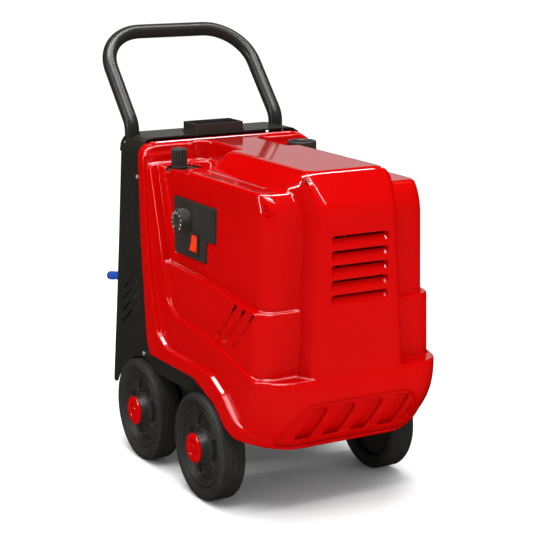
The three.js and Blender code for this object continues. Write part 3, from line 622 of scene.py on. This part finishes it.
def bevelled(piece, width):
    """Rounds the edges of a carried-over piece without touching its mesh."""
    edge = piece.modifiers.new("soft_edges", "BEVEL")
    edge.width = width * MM
    edge.segments = 3
    edge.limit_method = "ANGLE"
    edge.angle_limit = SHARP
    edge.harden_normals = True


for name, width in BEVELLED.items():
    bevelled(NODES[name], width)

hood_shape = moulded(hood_field, (-200, -376, 130), (200, 135, 630), 3.2, 0.4)
dress(moulding("hood_shell", hood_shape), "base", "red", "hood")

# ---- wheels --------------------------------------------------------------------------------
WHEEL_X, FRONT_Y, REAR_Y, WHEEL_RADIUS = 181, -148, 108, 100
RIBS, RIB_PITCH = 8, 4.8
POCKETS = 4


def tyre_corners():
    corners = [[76, -19], [79, -22.5, 2], [88, -25, 4], [97, -23, 4], [WHEEL_RADIUS - 1, -20.5, 1]]
    for i in range(RIBS):
        middle = (i - (RIBS - 1) / 2) * RIB_PITCH
        corners.append([WHEEL_RADIUS - 2.4, middle - 2.2, 0.3])
        corners.append([WHEEL_RADIUS, middle - 1.5, 0.4])
        corners.append([WHEEL_RADIUS, middle + 1.5, 0.4])
        corners.append([WHEEL_RADIUS - 2.4, middle + 2.2, 0.3])
    corners += [[WHEEL_RADIUS - 1, 20.5, 1], [97, 23, 4]]
    corners += [[92, 24.2, 1], [91, 25, 0.5], [87, 25, 0.5], [86, 23.8, 0.5], [83, 23.4, 1], [80, 21.6, 1.5], [76, 19]]
    return corners


HUB_SIDE = [
    [10.6, -22],
    [24, -22],
    [24, -6, 4],
    [75.4, -6],
    [75.4, 19, 1],
    [72, 21, 2],
    [64, 9, 8],
    [30, 14, 6],
    [25.6, 29, 1.5],
    [20, 29.2],
    [20, 12],
    [10.6, 12],
]
HUB_TABLE = Outline(rounded(HUB_SIDE), (0, -30), (90, 40))


def hub_field(x, y, z):
    """A dished hub about the X axis, with kidney-shaped pockets in its outer face."""
    reach = np.hypot(y, z)
    body = HUB_TABLE(reach, x)
    angle = np.arctan2(y, z)
    sector = 2 * math.pi / POCKETS
    angle = np.mod(angle + sector / 2, sector) - sector / 2
    kidney = round_max(np.abs(reach - 49) - 13, np.abs(angle) * reach - 25, 10)
    return carve(body, round_max(kidney, 2.5 - x, 5), 3)


CAP_CORNERS = [
    [0, 21.6],
    [19, 21.6],
    [19, 29.8],
    [27.6, 29.8, 0.6],
    [27.9, 33, 1.2],
    [25.5, 34.7, 1],
    [16, 34.7, 1],
    [14.5, 33.2, 1],
    [8.5, 33.2, 1],
    [7, 34.5, 1],
    [0, 34.6],
]

hub_shape = moulded(hub_field, (-22, -76, -76), (30, 76, 76), 1.8, 0.5)
for end, y in (("front", FRONT_Y), ("rear", REAR_Y)):
    for side, half_turn in (("left", 180), ("right", 0)):
        corner = f"{end}_{side}"
        body = f"wheel_{corner}"
        x = -WHEEL_X if half_turn else WHEEL_X
        place = at(x, y, WHEEL_RADIUS, (half_turn, "Z"))
        outward = place @ at(0, 0, 0, (90, "Y"))
        tyre = turned(f"tyre_ribbed_{corner}", tyre_corners(), outward, 128)
        dress(tyre, body, "rubber", f"tyre_{corner}")
        dress(moulding(f"hub_dished_{corner}", hub_shape, place), body, "black_plastic", f"hub_{corner}")
        dress(turned(f"centre_cap_{corner}", CAP_CORNERS, outward), body, "red", f"hub_cap_{corner}")

# ---- handle and fittings -------------------------------------------------------------------
HANDLE_X, LEG_Y, LEG_FOOT, KNEE_Z, BAR_Y, BAR_Z = 160.8, 209, 520, 646, 361, 812
right = [[HANDLE_X, LEG_Y, LEG_FOOT, 0], [HANDLE_X, LEG_Y, KNEE_Z, 40], [HANDLE_X, BAR_Y, BAR_Z, 89]]
left = [[-c[0], *c[1:]] for c in reversed(right)]
dress(swept("handle_tube", bent_line(right + left), 14.2), "base", "black_paint", "handle")

for side, half_turn in (("left", 180), ("right", 0)):
    for level in ("upper", "lower"):
        stands_for = f"hood_screw_{level}_{side}"
        low, high = (np.array(c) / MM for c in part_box(stands_for))
        base = (low[0] + 0.2) if side == "right" else (high[0] - 0.2)
        place = at(base, (low[1] + high[1]) / 2, (low[2] + high[2]) / 2, (half_turn, "Z"), (90, "Y"))
        head = [[0, 0], [2.2, 0], [2.2, 2.2], [4.3, 2.4, 0.8], [3.9, 4.4, 1.4], [1.6, 5.2, 0.6], [1.2, 4.2, 0.3], [0, 4]]
        screw = turned(f"screw_head_{level}_{side}", head, place, 32)
        dress(screw, "base", "steel", stands_for)

# ---- controls ------------------------------------------------------------------------------
PLATE_X, DIAL_Y, DIAL_Z, DIAL_DEPTH = -167.6, -36, 499, 19
KNOB_X, KNOB_Y, KNOB_FOOT = -130, 65, 579
CAP_X, CAP_Y = 128, 47

dial_corners = [
    [0, 0],
    [24, 0],
    [24, 2.6, 0.8],
    [23, 3.4, 0.5],
    [22.6, DIAL_DEPTH - 1.2, 0.8],
    [21, DIAL_DEPTH, 0.8],
    [10, DIAL_DEPTH, 1],
    [9, DIAL_DEPTH - 0.8, 0.6],
    [0, DIAL_DEPTH - 0.8],
]
dial_seat = at(PLATE_X - 0.4, DIAL_Y, DIAL_Z, (-90, "Y"))
dial = turned("dial_knob", dial_corners, dial_seat, 96, flutes=48, depth=0.5, fluted=(22.4, 3.0))
dress(dial, "dial", "black_plastic", "thermostat_dial")


def numerals(name, count, ring, size, first, sweep):
    """Raised digits in a ring on the dial's face, each upright along its own radius."""
    points, faces = [], []
    face_x = PLATE_X - 0.4 - DIAL_DEPTH
    for i in range(count):
        letter = bpy.data.curves.new("digit", "FONT")
        letter.body = str(i)
        letter.size = size
        letter.align_x = "CENTER"
        letter.align_y = "CENTER"
        letter.extrude = 0.12
        holder = bpy.data.objects.new("digit", letter)
        bpy.context.scene.collection.objects.link(holder)
        graph = bpy.context.evaluated_depsgraph_get()
        mesh = holder.evaluated_get(graph).to_mesh()
        angle = math.radians(first + sweep * i / (count - 1))
        across, up = math.cos(angle), math.sin(angle)
        start = len(points)
        for vertex in mesh.vertices:
            u, v, w = vertex.co
            v += ring
            right_of, above = u * across + v * up, v * across - u * up
            points.append((face_x - w - 0.2, DIAL_Y - right_of, DIAL_Z + above))
        faces += [[start + k for k in face.vertices] for face in mesh.polygons]
        bpy.data.objects.remove(holder)
    return mesh_object(name, points, faces)


dress(numerals("dial_numerals", 10, 16.4, 7.6, -135, 270), "dial", "tank")

knob_corners = [
    [0, 0.6],
    [16, 0.6, 0.5],
    [16, 3.5, 0.5],
    [15.4, 4.5, 0.5],
    [15.6, 35, 1],
    [13.4, 37.8, 2],
    [10, 37.8, 1],
    [9, 36.8, 1],
    [0, 36.8],
]
knob_seat = at(KNOB_X, KNOB_Y, KNOB_FOOT)
knob = turned("knob_grip", knob_corners, knob_seat, 192, flutes=16, depth=1.9, fluted=(12, 4.2))
dress(knob, "knob", "black_plastic", "metering_knob")
disc_corners = [[0, -4], [32.4, -4], [32.4, -0.6, 0.8], [31, 0, 0.8], [29, 0, 0.4], [28.4, -0.7, 0.4], [0, -0.7]]
dress(turned("knob_disc", disc_corners, at(-128, 49, KNOB_FOOT)), "base", "black_plastic", "knob_plate")

cap_corners = [
    [0, 599.2],
    [20.4, 599.2],
    [20.4, 607],
    [25.4, 607],
    [25.4, 590.2],
    [29, 590.2, 0.6],
    [28.6, 613, 1.5],
    [27, 614.9, 1.5],
    [21.5, 614.9, 1.5],
    [19, 612, 2],
    [18, 603.5, 2],
    [0, 602.4],
]
cap = turned("cap_ring", cap_corners, at(CAP_X, CAP_Y, 0), 144, flutes=36, depth=0.9, fluted=(28.2, 592))
dress(cap, "cap", "black_plastic", "fuel_cap")

# ---- rear connections ----------------------------------------------------------------------
INLET_DROOP = 11
inlet_corners = [[0, 0], [6.9, 0], [6.9, 24], [8.9, 24, 0.5], [8.9, 30, 0.8], [8.2, 31, 0.5], [8.2, 74, 0.5]]
inlet_corners += [[8.9, 75, 0.5], [8.9, 88, 0.5], [8.3, 89, 0.5], [8.3, 108, 0.5], [8.9, 109, 0.5]]
inlet_corners += [[8.9, 127, 1.5], [6.2, 133.6, 1.5], [4.4, 133.6, 0.5], [4.2, 120], [0, 120]]
inlet_seat = at(-155, 216, 341, (-INLET_DROOP, "X"), (-90, "X"))
dress(turned("inlet_spigot", inlet_corners, inlet_seat, 48), "base", "blue", "water_inlet")

outlet_corners = [[0, 0], [8.8, 0], [8.8, 24.2], [15.8, 24.2, 0.8], [15.8, 39, 1.5], [11, 41, 1]]
for i in range(6):
    outlet_corners += [[10.9, 43 + 2.6 * i, 0.3], [9.8, 44.3 + 2.6 * i, 0.3]]
outlet_corners += [[10.6, 60, 0.5], [9.6, 61.8, 0.5], [5.5, 61.8, 0.5], [5, 50], [0, 50]]
outlet_seat = at(110, 222, 215, (-90, "X"))
outlet = turned("outlet_fitting", outlet_corners, outlet_seat, 48)
dress(outlet, "base", "brass", "pressure_outlet")

gland_corners = [[5.8, 10], [7.4, 10], [7.4, 22.2], [13.8, 22.2, 0.6], [13.8, 33, 1.2], [11, 34.5, 0.6]]
gland_corners += [[10.4, 36, 0.6], [9, 41, 1], [7.2, 41.8, 0.5], [6, 41.6]]
gland_seat = at(40, 222, 250, (-90, "X"))
gland = turned("gland_nut", gland_corners, gland_seat, 72, flutes=12, depth=0.9, fluted=(13, 22))
dress(gland, "base", "black_plastic", "cable_gland")

# ---- studio --------------------------------------------------------------------------------
scene = bpy.context.scene


def aimed(holder, place, aim):
    holder.location = place
    holder.rotation_euler = (Vector(aim) - Vector(place)).to_track_quat("-Z", "Y").to_euler()
    scene.collection.objects.link(holder)
    return holder


def panel_light(name, place, aim, size, power, mirrored=True):
    """A rectangular lamp; one that is not mirrored lights the pieces without showing in their gloss."""
    data = bpy.data.lights.new(name, "AREA")
    data.shape = "RECTANGLE"
    data.size, data.size_y = size
    data.energy = power
    aimed(bpy.data.objects.new(name, data), place, aim).visible_glossy = mirrored


def sun_light(name, place, aim, strength, spread):
    data = bpy.data.lights.new(name, "SUN")
    data.energy = strength
    data.angle = math.radians(spread)
    aimed(bpy.data.objects.new(name, data), place, aim)


FLOOR_HALF = 60000
floor_corners = [(-1, -1), (1, -1), (1, 1), (-1, 1)]
floor = mesh_object("floor", [(u * FLOOR_HALF, v * FLOOR_HALF, 0) for u, v in floor_corners], [(0, 1, 2, 3)])
floor.data.materials.append(finish_of("pale_floor", (0.93, 0.93, 0.93), 0.9, 40, 0.0001, spread=0.01))
floor.visible_glossy = False

world = bpy.data.worlds.new("studio")
world.use_nodes = True
world.node_tree.nodes["Background"].inputs["Color"].default_value = (1, 1, 1, 1)
world.node_tree.nodes["Background"].inputs["Strength"].default_value = 0.68
scene.world = world
world.cycles_visibility.glossy = False
sun_light("sky_panel", (-0.6, -1.2, 4.0), (0, 0, 0), 1.7, 36)
panel_light("overhead_tube", (0.1, 0.3, 2.6), (0, -0.1, 0.5), (2.6, 0.2), 40)
panel_light("front_tube", (-0.2, -1.6, 2.8), (0, -0.1, 0.5), (2.6, 0.1), 16)
panel_light("side_tube", (-2.4, 0.5, 1.5), (0, 0, 0.4), (0.14, 2.0), 14)
panel_light("back_card", (2.2, 3.6, 1.6), (0, 0, 0.5), (3.4, 1.6), 6)
panel_light("front_wall", (0.9, -3.0, 1.3), (0, -0.2, 0.4), (1.4, 1.4), 12, mirrored=False)

camera = bpy.data.objects.new("camera", bpy.data.cameras.new("camera"))
camera.data.sensor_width = 36
camera.data.lens = 109.26
aimed(camera, (-1.4698, -2.6530, 1.0770), (0.00009, -0.040, 0.39366))
scene.camera = camera
scene.view_settings.view_transform = "Standard"
